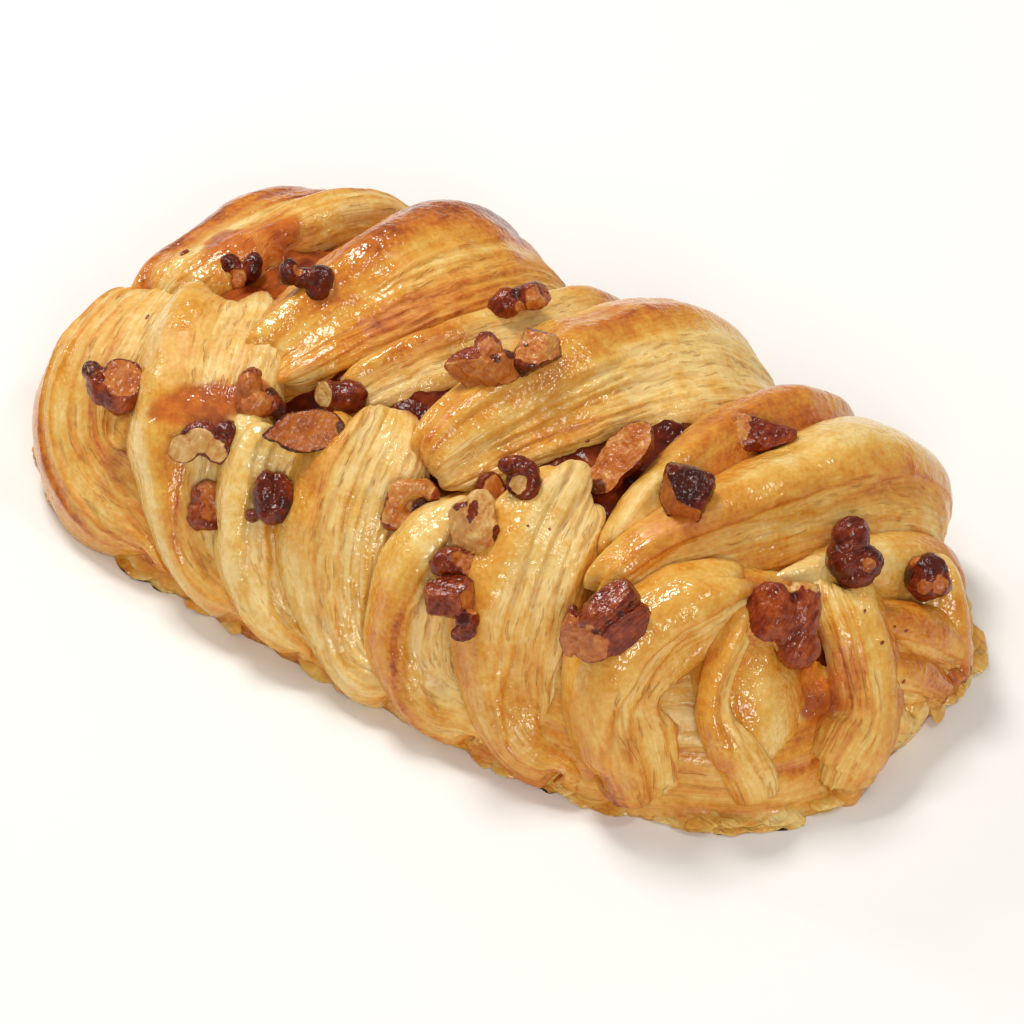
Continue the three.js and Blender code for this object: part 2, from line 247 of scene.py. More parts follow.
# Each flap: its foot at the rim, its middle and its tip in plan, and its width at each, in millimetres.
# Then how deep it is sunk and its foot tucked in, its roll in degrees, where its cut face starts across it
# from -1 to 1, how brown it is, and how strong its leaves are, less than 0 where the cut face is on its
# other side. A thin one ends with its share of the full thickness.
FLAPS = {
    "flap_far_end": ((-48, 34.5), (-53, 12), (-56, -10), (26, 18, 16), 0.6, 0, -6, 0.30, 0.42, 0.6),
    "flap_far_1": ((-18.5, 38.2), (-22.4, 12), (-28.5, -16), (29, 26, 17), 1.0, 0, 12, 0.05, 0.60, 0.7),
    "flap_far_2": ((1, 38.5), (-4.5, 10), (-15.5, -17), (15, 12, 8), 3.2, 0, 10, -0.2, 0.28, 0.4),
    "flap_far_3": ((19, 38.3), (12, 7), (4, -20), (30, 25, 15), 1.0, 0, 14, -0.05, 0.28, 0.6),
    "flap_far_4": ((38, 36.6), (34, 6), (33.5, -17), (16, 13, 9), 1.2, 0, 8, 0.6, 0.26, 0.3),
    "flap_far_5": ((53, 32.5), (47, 7), (35, -24), (23, 18, 10), 0.6, 0, 15, -0.15, 0.20, 0.75),
    "flap_far_6": ((66, 21), (60, 9), (53, -4), (18, 14, 9), 2.8, 0, 6, 0.7, 0.22, 0.2),
    "flap_near_end": ((-28, -38.0), (-51.5, -31.0), (-58, -8), (12, 22, 21), 0.9, 0.8, 4, -0.4, 0.34, 1.0),
    "flap_near_1": ((-13, -38.4), (-26.3, -35.4), (-42, -8), (12, 20.5, 23), 0.3, 0.8, 10, -0.05, 0.22, 0.7),
    "flap_near_2": ((-2, -38.5), (-13.6, -36.3), (-19.5, -24), (11, 15, 14), 0.6, 0.8, 12, -0.25, 0.24, 1.0),
    "flap_near_3": ((13, -38.4), (-1.2, -36.4), (-7.0, -18), (12, 18, 20), 0.5, 0.8, 13, -0.3, 0.22, 0.75),
    "flap_near_4": ((27, -38.0), (12.8, -36.4), (14.5, -22), (12, 18, 12), 0.6, 0.8, 15, -0.3, 0.14, 1.0),
    "flap_near_5": ((41, -36.6), (28.2, -35.9), (22, -12.5), (13, 18, 15), 0.3, 0.8, 15, -0.4, 0.22, 0.8),
    "flap_near_6": ((49.5, -34.6), (44.4, -31.8), (50.3, -11), (12, 17, 10), 0.2, 0.8, 12, -0.2, 0.34, 1.0),
    "flap_near_7": (
        (63.8, -25.6), (56.4, -26.0), (53, -15.5), (5.6, 3.8, 3.2), 0.4, 0.4, 0, 0.0, 0.46, 0.6, 0.10,
    ),
    "flap_near_8": (
        (69.4, -15.6), (67.7, -5.6), (57.5, 1.0), (12, 11, 8.5), 0.0, 0.5, 2, 0.1, 0.34, -0.7, 0.35,
    ),
    "flap_end_right": ((70.3, 8.5), (68.6, 14.5), (62, 18.5), (9, 11, 9), 0.2, 0, 0, 0.4, 0.50, 0.6),
    "end_leaf_top": ((69.4, 13), (68, 7.5), (65, 2), (9, 11, 9), 0.9, 0, 0, -0.1, 0.34, 0.8, 0.4),
    "end_leaf_middle": ((70, 9.5), (69.3, 4), (67.5, -2), (7, 8, 7), 0.7, 0, 0, -0.1, 0.28, 0.7, 0.35),
    "end_leaf_low": ((70, 4), (69.9, -1.5), (69, -8), (6, 7, 6), 0.6, 0, 0, -0.1, 0.32, 0.7, 0.35),
    "inner_fold": ((65.5, -21.5), (61.5, -15), (55.5, -2), (15, 24, 22), 4.8, 0, 0, 0.4, 0.28, 0.6),
}
FLAP_FIELDS = ("foot", "middle", "tip", "widths", "sunk", "tucked", "roll", "face", "bake", "leaves", "thick")
FLAPS = {name: {"thick": 1.0, **dict(zip(FLAP_FIELDS, row))} for name, row in FLAPS.items()}

# Where syrup has run over the dough: the two ends of each spill, its reach in millimetres and its strength.
SYRUP_SPILLS = [
    ((-47, 2, 27), (-41, 8, 28), 5.5, 1.0),
    ((-42, 8, 28), (-34, 7.5, 29), 5.5, 1.0),
    ((-41, -3, 27), (-31, -1, 29), 4.0, 0.9),
    ((-33.5, -28, 24), (-24, -21.5, 29), 3.8, 1.0),
    ((-23.4, -34.4, 18), (-22, -36, 15), 2.6, 0.7),
    ((57, -9, 18), (61.3, -11.8, 12.8), 4.5, 1.0),
    ((51, -10, 24), (56, -5, 24), 4.0, 0.6),
    ((-4, -13, 28), (0, -12, 28), 3.5, 0.8),
    ((21, -35.5, 16), (23, -36.5, 13), 2.2, 0.5),
]


def grain(points, seed):
    """Smooth noise from -1 to 1 at each row of an (n, 3) array."""
    cell = np.floor(points).astype(np.int64)
    part = points - cell
    part = part * part * (3.0 - 2.0 * part)
    total = np.zeros(len(points))
    for corner in range(8):
        step = np.array([corner & 1, corner >> 1 & 1, corner >> 2 & 1])
        key = (cell + step) @ np.array([73856093, 19349663, 83492791]) + seed * 26544357
        key = (key ^ (key >> 13)) * 1274126177
        key = (key ^ (key >> 16)) & 0xFFFF
        total += np.prod(np.where(step, part, 1.0 - part), axis=1) * (key / 32767.5 - 1.0)
    return total


def smooth(value, low, high):
    share = np.clip((value - low) / (high - low), 0.0, 1.0)
    return share * share * (3.0 - 2.0 * share)


def signed_power(value, power):
    return np.sign(value) * np.abs(value) ** power


def columns(*parts):
    return np.stack(parts, axis=1)


def unit(rows):
    return rows / np.maximum(np.linalg.norm(rows, axis=1, keepdims=True), 1e-9)


def dome_height(plan):
    along = np.abs(2.0 * plan[:, 0] / LENGTH) ** PLAN_SQUARENESS
    across = np.abs(2.0 * plan[:, 1] / WIDTH) ** PLAN_SQUARENESS
    out = np.minimum(1.0, (along + across) ** (1.0 / PLAN_SQUARENESS))
    return HEIGHT * (1.0 - out ** DOME_SQUARENESS) ** (1.0 / DOME_SQUARENESS)


def dome_normal(points):
    along = np.abs(2.0 * points[:, 0] / LENGTH)
    across = np.abs(2.0 * points[:, 1] / WIDTH)
    out = np.maximum(1e-6, (along**PLAN_SQUARENESS + across**PLAN_SQUARENESS) ** (1.0 / PLAN_SQUARENESS))
    plan = out ** (DOME_SQUARENESS - PLAN_SQUARENESS)
    x = plan * along ** (PLAN_SQUARENESS - 1) * 2 * np.sign(points[:, 0]) / LENGTH
    y = plan * across ** (PLAN_SQUARENESS - 1) * 2 * np.sign(points[:, 1]) / WIDTH
    z = (np.maximum(0.0, points[:, 2]) / HEIGHT) ** (DOME_SQUARENESS - 1) / HEIGHT
    return unit(columns(x, y, z))


def plan_curve(flap, share):
    """A centripetal curve through a flap's foot, middle and tip."""
    foot, middle, tip = (np.array(flap[key], float) for key in ("foot", "middle", "tip"))
    stops = [2 * foot - middle, foot, middle, tip, 2 * tip - middle]
    points = np.zeros((len(share), 3))
    for half in range(2):
        before, start, end, after = stops[half : half + 4]
        gaps = [np.linalg.norm(b - a) ** 0.5 for a, b in ((before, start), (start, end), (end, after))]
        leave = (start - before) / gaps[0] - (end - before) / (gaps[0] + gaps[1]) + (end - start) / gaps[1]
        arrive = (end - start) / gaps[1] - (after - start) / (gaps[1] + gaps[2]) + (after - end) / gaps[2]
        leave = leave * gaps[1]
        arrive = arrive * gaps[1]
        t = (share * 2 - half)[:, None]
        curve = (
            start
            + leave * t
            + (3 * (end - start) - 2 * leave - arrive) * t**2
            + (2 * (start - end) + leave + arrive) * t**3
        )
        here = (share * 2 >= half) & (share * 2 <= half + 1)
        points[here, :2] = curve[here]
    return points


def flap_crown(flap):
    return FLAP_CROWN * flap["thick"] ** 0.5


def flap_line(flap):
    """Points along the middle of a flap, and how far along the flap each one is, in millimetres."""
    share = np.linspace(0.0, 1.0, LINE_POINTS) ** 2
    points = plan_curve(flap, share)
    points[:, 2] = np.maximum(dome_height(points), FLAP_FOOT_HEIGHT)
    tucked = flap["tucked"] * np.maximum(0.0, 1.0 - share / FLAP_TUCKED_SHARE) ** 2
    points = points - dome_normal(points) * (flap_crown(flap) + flap["sunk"] + tucked)[:, None]
    steps = np.linalg.norm(np.diff(points, axis=0), axis=1)
    return points, np.concatenate([[0.0], np.cumsum(steps)])


def follow(places, reach, rows):
    """The rows of a line at the given places along it."""
    return columns(*(np.interp(places, reach, column) for column in rows.T))


def mesh_rows(mesh, field, width):
    rows = np.empty(len(mesh.vertices) * width, np.float32)
    mesh.vertices.foreach_get(field, rows)
    return rows.reshape(-1, width).astype(float)


def set_rows(mesh, rows):
    mesh.vertices.foreach_set("co", rows.astype(np.float32).ravel())
    mesh.update()


def add_attributes(mesh, **layers):
    """Gives a mesh its layers: one number for all points, a number for each, or three for each."""
    for name, values in layers.items():
        values = np.asarray(values, np.float32)
        if values.ndim == 0:
            values = np.full(len(mesh.vertices), values)
        kind, field = ("FLOAT", "value") if values.ndim == 1 else ("FLOAT_VECTOR", "vector")
        mesh.attributes.new(name, kind, "POINT").data.foreach_set(field, values.ravel())


def add_piece(name, mesh, material, slot, *nodes):
    piece = add_object(name, mesh)
    mesh.materials.append(material)
    mesh.shade_smooth()
    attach(piece, "root")
    if nodes:
        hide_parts(*nodes)


def ball_mesh(name, around, down):
    ball = bmesh.new()
    bmesh.ops.create_uvsphere(ball, u_segments=around, v_segments=down, radius=1.0)
    return made_mesh(name, ball)


def face_outwards(mesh):
    shell = bmesh.new()
    shell.from_mesh(mesh)
    bmesh.ops.recalc_face_normals(shell, faces=shell.faces)
    shell.to_mesh(mesh)
    shell.free()


def strand(along, across, pitch_along, pitch_across, seed):
    """Noise drawn out along a flap; pitches are lumps per millimetre."""
    rows = columns(along * pitch_along, across * pitch_across, np.full_like(along, seed * 7.31))
    return grain(rows, seed)


def leaf_edges(along, across, edge, seed):
    """Steps where a leaf of dough ends: how high the surface stands, the browned line at each edge,
    and the holes that open under it."""
    rise = np.zeros_like(along)
    line = np.zeros_like(along)
    hole = np.zeros_like(along)
    level = np.zeros_like(along)
    draw = np.random.default_rng(seed + 900)
    place = edge
    for step in range(LEAF_STEPS):
        height = 0.24 + 0.28 * 0.6**step
        here = place + 1.2 * strand(along, level, 0.07, 0.0, seed + 20 * step + 300)
        here = here + 0.25 * strand(along, level, 0.33, 0.0, seed + 20 * step + 303)
        here = here + 0.14 * strand(along, across, 1.0, 0.4, seed + 20 * step + 306)
        fade = smooth(strand(along, level, 0.06, 0.0, seed + 20 * step + 310), -0.5, 0.0)
        rise += height * fade * (1.0 - smooth(across, here - 0.12, here + 0.3))
        browned = np.exp(-(((across - here + 0.05) / 0.3) ** 2))
        line = np.maximum(line, draw.uniform(0.4, 1.0) * fade * browned)
        gap = smooth(strand(along, level, 0.3, 0.0, seed + 20 * step + 315), 0.05, 0.45)
        hole = np.maximum(hole, fade * gap * np.exp(-(((across - here - 0.5) / 0.3) ** 2)))
        place = place + draw.uniform(0.7, 2.1)
    return rise - 1.2, line, hole


def leaf_relief(along, across, seed):
    """Soft ripples of a cut face in millimetres, and the thin slits in it."""
    ripple = 0.5 - np.abs(strand(along, across, 0.05, 0.42, seed + 30))
    fine = strand(along, across, 0.25, 1.2, seed + 31)
    cluster = smooth(strand(along, across, 0.05, 0.16, seed + 32), 0.0, 0.4)
    slit = 1.0 - smooth(np.abs(strand(along, across, 0.09, 0.7, seed + 33)), 0.02, 0.16)
    return 0.22 * ripple + 0.06 * fine, slit * cluster


def crust_relief(along, across, seed):
    """Wrinkles of a crust in millimetres."""
    wrinkles = 0.2 * strand(along, across, 0.07, 0.5, seed + 35)
    return wrinkles + 0.07 * strand(along, across, 0.5, 0.9, seed + 36)


def syrup_cover(points):
    """How much syrup lies on the dough at each point, from 0 to 1."""
    cover = np.zeros(len(points))
    uneven = 0.3 * grain(points * 0.22, 80) + 0.2 * grain(points * 0.6, 81)
    for start, end, reach, strength in SYRUP_SPILLS:
        start = np.array(start, float)
        run = np.array(end) - start
        share = np.clip((points - start) @ run / (run @ run), 0.0, 1.0)
        far = np.linalg.norm(points - start - share[:, None] * run, axis=1) / reach
        cover = np.maximum(cover, strength * (1.0 - smooth(far + uneven, 0.45, 1.15)))
    return cover


def flap_mesh(name, flap, seed):
    """A flap as a stretched ball, its poles at the foot and the tip, bent along its line over the loaf."""
    line, reach = flap_line(flap)
    mean_width = float(np.mean(flap["widths"]))
    mesh = ball_mesh(name, int(np.clip(POINTS_AROUND * mean_width, 100, 200)), int(POINTS_ALONG * reach[-1]))
    ball = mesh_rows(mesh, "co", 3)
    side = -1.0 if flap["foot"][1] > flap["tip"][1] else 1.0
    polar = np.arccos(np.clip(ball[:, 2], -1.0, 1.0))
    share = 0.25 * (1.0 - np.cos(polar)) + 0.5 * polar / math.pi
    turn = np.arctan2(ball[:, 1], ball[:, 0])
    angle = turn + CROWDING * np.cos(turn)
    along = share * reach[-1]
    middle = follow(along, reach, line)
    course = unit(np.gradient(line, reach + 1e-6 * np.arange(len(reach)), axis=0))
    tangent = unit(follow(along, reach, course))
    ahead = follow(reach + BEND_REACH, reach, course)
    behind = follow(reach - BEND_REACH, reach, course)
    bend = follow(along, reach, (ahead - behind) / (2 * BEND_REACH))
    across_way = unit(np.cross(tangent, dome_normal(middle))) * side
    cut_side = math.copysign(1.0, flap["leaves"])
    up = unit(np.cross(across_way, tangent)) * side
    around = columns(np.cos(angle) * 2.1, np.sin(angle) * 2.1, np.full_like(angle, seed))
    ragged = 2.6 * grain(around, seed) * smooth(share, 0.7, 1.0)
    end = np.maximum(0.0, 1.0 - np.abs(2 * share - 1) ** FLAP_END_SQUARENESS) ** (1 / FLAP_END_SQUARENESS)
    end = np.where(np.hypot(ball[:, 0], ball[:, 1]) > 1e-5, end, 0.0)
    widths = np.interp(share, [0.0, 0.5, 1.0], flap["widths"])
    flat = signed_power(np.cos(angle), 2 / FLAP_SQUARENESS)
    tall = signed_power(np.sin(angle), 2 / FLAP_SQUARENESS)
    lateral = widths / 2 * flat * end
    tight = np.maximum(1e-6, SQUEEZE * lateral * np.sum(bend * across_way, axis=1))
    lateral = lateral * (1.0 - np.exp(-tight)) / tight
    crest = flap["thick"] * CREST_RISE * np.exp(-(((flat * cut_side - CREST_PLACE) / 0.32) ** 2))
    dip = flap["thick"] * FACE_DIP * np.exp(-(((flat * cut_side - FACE_PLACE) / 0.4) ** 2))
    depth = np.where(tall > 0, flap_crown(flap), FLAP_DEPTH * flap["thick"])
    normal = (depth * tall + (crest - dip) * np.maximum(0.0, tall)) * end
    roll = math.radians(flap["roll"])
    points = (
        middle
        + across_way * (lateral * math.cos(roll) + normal * math.sin(roll))[:, None]
        + up * (normal * math.cos(roll) - lateral * math.sin(roll))[:, None]
        + tangent * ragged[:, None]
    )
    girth_turn = np.linspace(-math.pi / 2, 1.5 * math.pi, 721)
    girth_x = mean_width / 2 * signed_power(np.cos(girth_turn), 2 / FLAP_SQUARENESS)
    girth_depth = np.where(np.sin(girth_turn) > 0, FLAP_CROWN, FLAP_DEPTH)
    girth_y = girth_depth * signed_power(np.sin(girth_turn), 2 / FLAP_SQUARENESS)
    girth = np.concatenate([[0.0], np.cumsum(np.hypot(np.diff(girth_x), np.diff(girth_y)))])
    faced = angle if cut_side > 0 else math.pi - angle
    wrapped = np.mod(faced + math.pi / 2, 2 * math.pi) - math.pi / 2
    across = girth[-1] - np.interp(wrapped, girth_turn, girth)
    edge_turn = math.acos(float(signed_power(np.array(flap["face"]), FLAP_SQUARENESS / 2)))
    edge = girth[-1] - float(np.interp(edge_turn, girth_turn, girth))
    drift = 1.3 * strand(along, np.zeros_like(along), 0.09, 0.0, seed + 8)
    spread = FACE_SPREAD if flap["tucked"] and cut_side > 0 else 0.0
    edge = edge - spread * (1.0 - smooth(share, 0.15, 0.5))
    crust = 1.0 - smooth(across, edge + drift - EDGE_SOFTNESS, edge + drift + EDGE_SOFTNESS)
    set_rows(mesh, points)
    face_outwards(mesh)
    outward = mesh_rows(mesh, "normal", 3)
    ripples, slit = leaf_relief(along, across, seed)
    rise, line, hole = leaf_edges(along, across, edge, seed)
    slit = np.maximum(slit, hole)
    leaves = abs(flap["leaves"])
    folds = 0.6 * strand(along, across, 0.03, 0.15, seed + 40)
    folds = folds + 0.3 * strand(along, across, 0.06, 0.36, seed + 41)
    lumps = 0.6 * grain(points * 0.085, 40) + 0.3 * grain(points * 0.2, 41)
    calm = smooth(end, 0.35, 0.85)
    cover = syrup_cover(points)
    relief = folds + lumps + crust * crust_relief(along, across, seed) + 0.07 * grain(points * 1.3, 42)
    leafed = leaves * (rise + (1.0 - crust) * (ripples - 0.3 * slit))
    relief += calm * leafed * (1.0 - 0.6 * cover) + 0.3 * cover
    placed = points + outward * (relief * end)[:, None]
    placed[:, 2] = np.maximum(placed[:, 2], 0.0)
    set_rows(mesh, (placed + PLAN_SHIFT) * MM)
    patch = strand(along, across, 0.06, 0.16, seed + 42)
    streak = strand(along, across, 0.05, 0.8, seed + 43)
    pale_tip = smooth(share, 0.72, 0.98)
    bake = flap["bake"] + 0.46 * patch + 0.12 * streak - 0.18 * pale_tip
    bake = bake + 0.08 * crust * smooth(tall, 0.4, 1.0) + 0.32 * leaves * line * calm
    bake = bake - 0.15 * (1.0 - crust)
    # This slit mask also carries the painted shade that the material puts in the slits.
    slit = slit * (1.0 - crust) * leaves * calm
    place = columns(along, across + 17.0 * seed, np.zeros_like(along))
    add_attributes(mesh, bake=np.clip(bake, 0, 1), crust=crust, slit=slit, syrup=cover, flap=place)
    return mesh


dough, dough_nodes = new_material("baked_dough")
bake = dough_nodes.attribute("bake")
crust = dough_nodes.attribute("crust")
slit = dough_nodes.attribute("slit")
spill = dough_nodes.attribute("syrup")
flap_place = dough_nodes.attribute("flap", "Vector")
dough_place = dough_nodes.make("ShaderNodeTexCoord")["Object"]
warp_sockets = {"Vector": dough_place, "Scale": 170.0, "Detail": 2.0}
warp = dough_nodes.make("ShaderNodeTexNoise", {}, warp_sockets)["Color"]
leaf_way = dough_nodes.make(
    "ShaderNodeVectorMath", {"operation": "MULTIPLY_ADD"}, {0: warp, 1: (0.0, 1.6, 0.0), 2: flap_place}
)["Vector"]
leaf_lines = dough_nodes.noise(dough_nodes.stretch(leaf_way, (0.12, 2.4, 1.0)), 1.0, 3.0, 0.65)
mottle = dough_nodes.noise(dough_place, 300.0, 4.0, 0.62)
bead = dough_nodes.noise(dough_place, 1250.0, 1.5)
grainy = dough_nodes.noise(dough_place, 1500.0, 2.0)
glaze_patch = dough_nodes.noise(dough_place, 75.0, 2.0)
glaze = dough_nodes.band(glaze_patch + crust * 0.14, 0.44, 0.6)
pore_cloud = dough_nodes.noise(dough_nodes.stretch(leaf_way, (0.3, 1.5, 1.0)), 1.0, 2.0)
pore = dough_nodes.band(pore_cloud, 0.58, 0.68) * (1 - crust * 0.8) * dough_nodes.band(glaze_patch, 0.6, 0.45)
lines = dough_nodes.band(leaf_lines, 0.3, 0.7)
toast = bake + 0.09 + (lines - 0.5) * 0.2 * (1 - crust * 0.5) + (mottle - 0.5) * 0.85 + (grainy - 0.5) * 0.4
toast_colour = dough_nodes.ramp(
    toast,
    (0.0, 243, 211, 138), (0.25, 232, 182, 88), (0.5, 222, 152, 52), (0.75, 202, 114, 34), (1.0, 146, 64, 20),
)
spill_colour = dough_nodes.ramp(
    mottle + (bake - 0.5) * 0.3, (0.3, 168, 68, 18), (0.5, 206, 108, 32), (0.72, 228, 148, 60)
)
# Painted shade: the dough colour is darkened towards a warm brown in the slits and pores, where shade falls
# between the leaves of dough.
slit_shade_colour = dough_nodes.blend(slit * 0.3 + pore * 0.32, toast_colour, (*linear(176, 92, 30), 1))
spill_share = dough_nodes.band(spill + (mottle - 0.5) * 0.4, 0.05, 0.95) * 0.92
dough_nodes.feed("Base Color", dough_nodes.blend(spill_share, slit_shade_colour, spill_colour))
wet = dough_nodes.band(glaze + spill, 0.0, 1.0)
dry = 1 - wet * 0.7
dough_nodes.feed("Roughness", 0.56 - wet * 0.46 + (mottle - 0.5) * 0.1)
dough_nodes.feed("Specular IOR Level", 0.6)
dough_nodes.feed("Subsurface Weight", 0.22)
dough_nodes.feed("Subsurface Radius", (1.0, 0.6, 0.3))
dough_nodes.feed("Subsurface Scale", 0.001)
dough_bumps = leaf_lines * (1 - crust * 0.6) * dry * 0.3 + mottle * dry * 0.55
dough_bumps = dough_bumps + bead * (wet * 0.36 + 0.06) - pore * 0.35
dough_nodes.feed("Normal", dough_nodes.bump(dough_bumps, 0.85, 0.0006))

for number, (flap_name, flap) in enumerate(FLAPS.items()):
    add_piece(flap_name, flap_mesh(flap_name, flap, number + 1), dough, "dough", "pastry")

# Base: the dough sheet under the flaps, turned up at its rim like a boat.
# Its wall shows below the flaps and between them near the right-hand end, and its flat underside is baked.
BOAT_LENGTH = 136.5
BOAT_WIDTH = 73.0
BOAT_HEIGHT = 25.0


def dome_rows(ball, length, width, top, floor_height):
    """The points of a ball spread to a dome of the loaf's own outline."""
    ring = np.hypot(ball[:, 0], ball[:, 1])
    turn = np.arctan2(ball[:, 1], ball[:, 0])
    reach = ring ** (2 / DOME_SQUARENESS)
    x = length / 2 * signed_power(np.cos(turn), 2 / PLAN_SQUARENESS) * reach
    y = width / 2 * signed_power(np.sin(turn), 2 / PLAN_SQUARENESS) * reach
    z = floor_height + (top - floor_height) * signed_power(ball[:, 2], 2 / DOME_SQUARENESS)
    return columns(x, y, z)


base_mesh = ball_mesh("base", 420, 150)
base_ball = mesh_rows(base_mesh, "co", 3)
base_rows = dome_rows(base_ball, BOAT_LENGTH, BOAT_WIDTH, BOAT_HEIGHT, 0.0)
under = base_ball[:, 2] < 0
base_rows[under, 2] = 0.0
set_rows(base_mesh, base_rows)
base_out = mesh_rows(base_mesh, "normal", 3)
rim_turn = np.arctan2(base_rows[:, 1], base_rows[:, 0])
fold = grain(base_rows * np.array([0.07, 0.07, 0.3]), 50)
sheets = grain(base_rows * np.array([0.05, 0.05, 0.95]) + 2.0 * grain(base_rows * 0.06, 53)[:, None], 54)
ragged_rim = grain(base_rows * np.array([0.3, 0.3, 0.0]) + 3.3, 51)
ragged_rim = ragged_rim + 0.5 * grain(base_rows * np.array([0.9, 0.9, 0.0]), 55)
wall = (base_ball[:, 2] >= -0.02).astype(float)
low_band = np.exp(-((base_rows[:, 2] / 1.8) ** 2)) * wall
base_push = (0.7 * fold + 0.35 * sheets + (1.0 + 1.1 * ragged_rim) * low_band) * wall
base_rows = base_rows + base_out * base_push[:, None]
base_rows[:, 2] = np.maximum(base_rows[:, 2], 0.0)
set_rows(base_mesh, (base_rows + PLAN_SHIFT) * MM)
face_outwards(base_mesh)
base_bake = 0.4 - 0.24 * smooth(base_rows[:, 2], 7.0, 15.0)
base_bake = base_bake + 0.25 * grain(base_rows * 0.12, 52) - 0.2 * sheets
# Slits between the sheets of the wall, which the material darkens with painted shade.
base_slit = smooth(-sheets, 0.35, 0.6) * smooth(base_rows[:, 2], 1.0, 3.0) * 0.6
base_around = columns(np.cos(rim_turn) * 45, base_rows[:, 2] * 1.2 + 400, np.sin(rim_turn) * 5.4)
add_attributes(base_mesh, bake=np.clip(base_bake, 0, 1), crust=0.4, slit=base_slit)
add_attributes(base_mesh, syrup=syrup_cover(base_rows), flap=base_around)
add_piece("base", base_mesh, dough, "dough", "pastry")

# Rim flakes: thin leaves of dough that have come loose along the foot of the wall.
# Each is a flat ragged scale a few millimetres long that lies against the rim.
RIM_FLAKES = 56
FLAKE_THICKNESS = 0.28
flake_draw = np.random.default_rng(7)
flakes = bmesh.new()
for _ in range(RIM_FLAKES):
    flake_turn = flake_draw.uniform(-2.3, 0.6)
    rim_x = BOAT_LENGTH / 2 * float(signed_power(np.cos(flake_turn), 2 / PLAN_SQUARENESS))
    rim_y = BOAT_WIDTH / 2 * float(signed_power(np.sin(flake_turn), 2 / PLAN_SQUARENESS))
    rim_way = math.atan2(math.sin(flake_turn) / BOAT_WIDTH, math.cos(flake_turn) / BOAT_LENGTH)
    flake_length = flake_draw.uniform(2.2, 4.8)
    flake_width = flake_draw.uniform(1.0, 2.2)
    flake_place = (
        Matrix.Translation((rim_x, rim_y, flake_draw.uniform(0.3, 1.6)))
        @ Matrix.Rotation(rim_way + flake_draw.uniform(-0.5, 0.5), 4, "Z")
        @ Matrix.Rotation(flake_draw.uniform(-0.1, 0.7), 4, "Y")
        @ Matrix.Diagonal((flake_width, flake_length, FLAKE_THICKNESS, 1.0))
    )
    bmesh.ops.create_icosphere(flakes, subdivisions=3, radius=1.0, matrix=flake_place)
flake_mesh = made_mesh("rim_flakes", flakes)
flake_rows = mesh_rows(flake_mesh, "co", 3)
flake_rows = flake_rows + 0.3 * columns(*(grain(flake_rows * 0.9, seed) for seed in (56, 57, 58)))
flake_rows[:, 2] = np.maximum(flake_rows[:, 2], 0.05)
set_rows(flake_mesh, (flake_rows + PLAN_SHIFT) * MM)
flake_bake = np.clip(0.26 + 0.35 * grain(flake_rows * 0.25, 59), 0, 1)
add_attributes(flake_mesh, bake=flake_bake, crust=0.3, slit=0.0, syrup=0.0, flap=flake_rows)
add_piece("rim_flakes", flake_mesh, dough, "dough", "pastry")

# Filling: a thick brown-sugar and maple syrup paste that lies along the loaf under the flaps.
# It is dark, glossy and lumpy, and shows only in the gaps between the flaps.
FILLING_LENGTH = 124.0
FILLING_WIDTH = 46.0
FILLING_FLOOR = 6.0
FILLING_TOP = 29.0
filling_mesh = ball_mesh("filling_paste", 240, 110)
filling_ball = mesh_rows(filling_mesh, "co", 3)
filling_rows = dome_rows(filling_ball, FILLING_LENGTH, FILLING_WIDTH, FILLING_TOP, FILLING_FLOOR)
filling_rows[filling_ball[:, 2] < 0, 2] = FILLING_FLOOR
filling_lumps = 0.8 * grain(filling_rows * 0.25, 60) + 0.45 * grain(filling_rows * 0.7, 61)
filling_rows[:, 2] += np.where(filling_ball[:, 2] > 0, filling_lumps, 0.0)
set_rows(filling_mesh, (filling_rows + PLAN_SHIFT) * MM)
face_outwards(filling_mesh)
syrup, syrup_nodes = new_material("syrup_filling")
syrup_place = syrup_nodes.make("ShaderNodeTexCoord")["Object"]
syrup_cloud = syrup_nodes.noise(syrup_place, 260.0, 4.0)
syrup_x = syrup_nodes.make("ShaderNodeSeparateXYZ", {}, {"Vector": syrup_place})["X"]
amber_end = syrup_nodes.band(syrup_x, -0.026, -0.036)
syrup_colour = syrup_nodes.ramp(
    syrup_cloud + amber_end * 0.2, (0.3, 60, 12, 5), (0.55, 104, 32, 10), (0.8, 176, 84, 26)
)
syrup_nodes.feed("Base Color", syrup_colour)
syrup_nodes.feed("Roughness", 0.1 + syrup_cloud * 0.2)
syrup_nodes.feed("Specular IOR Level", 0.2)
syrup_nodes.feed("Normal", syrup_nodes.bump(syrup_cloud, 0.9, 0.0009))
add_piece("filling_paste", filling_mesh, syrup, "syrup", "filling")
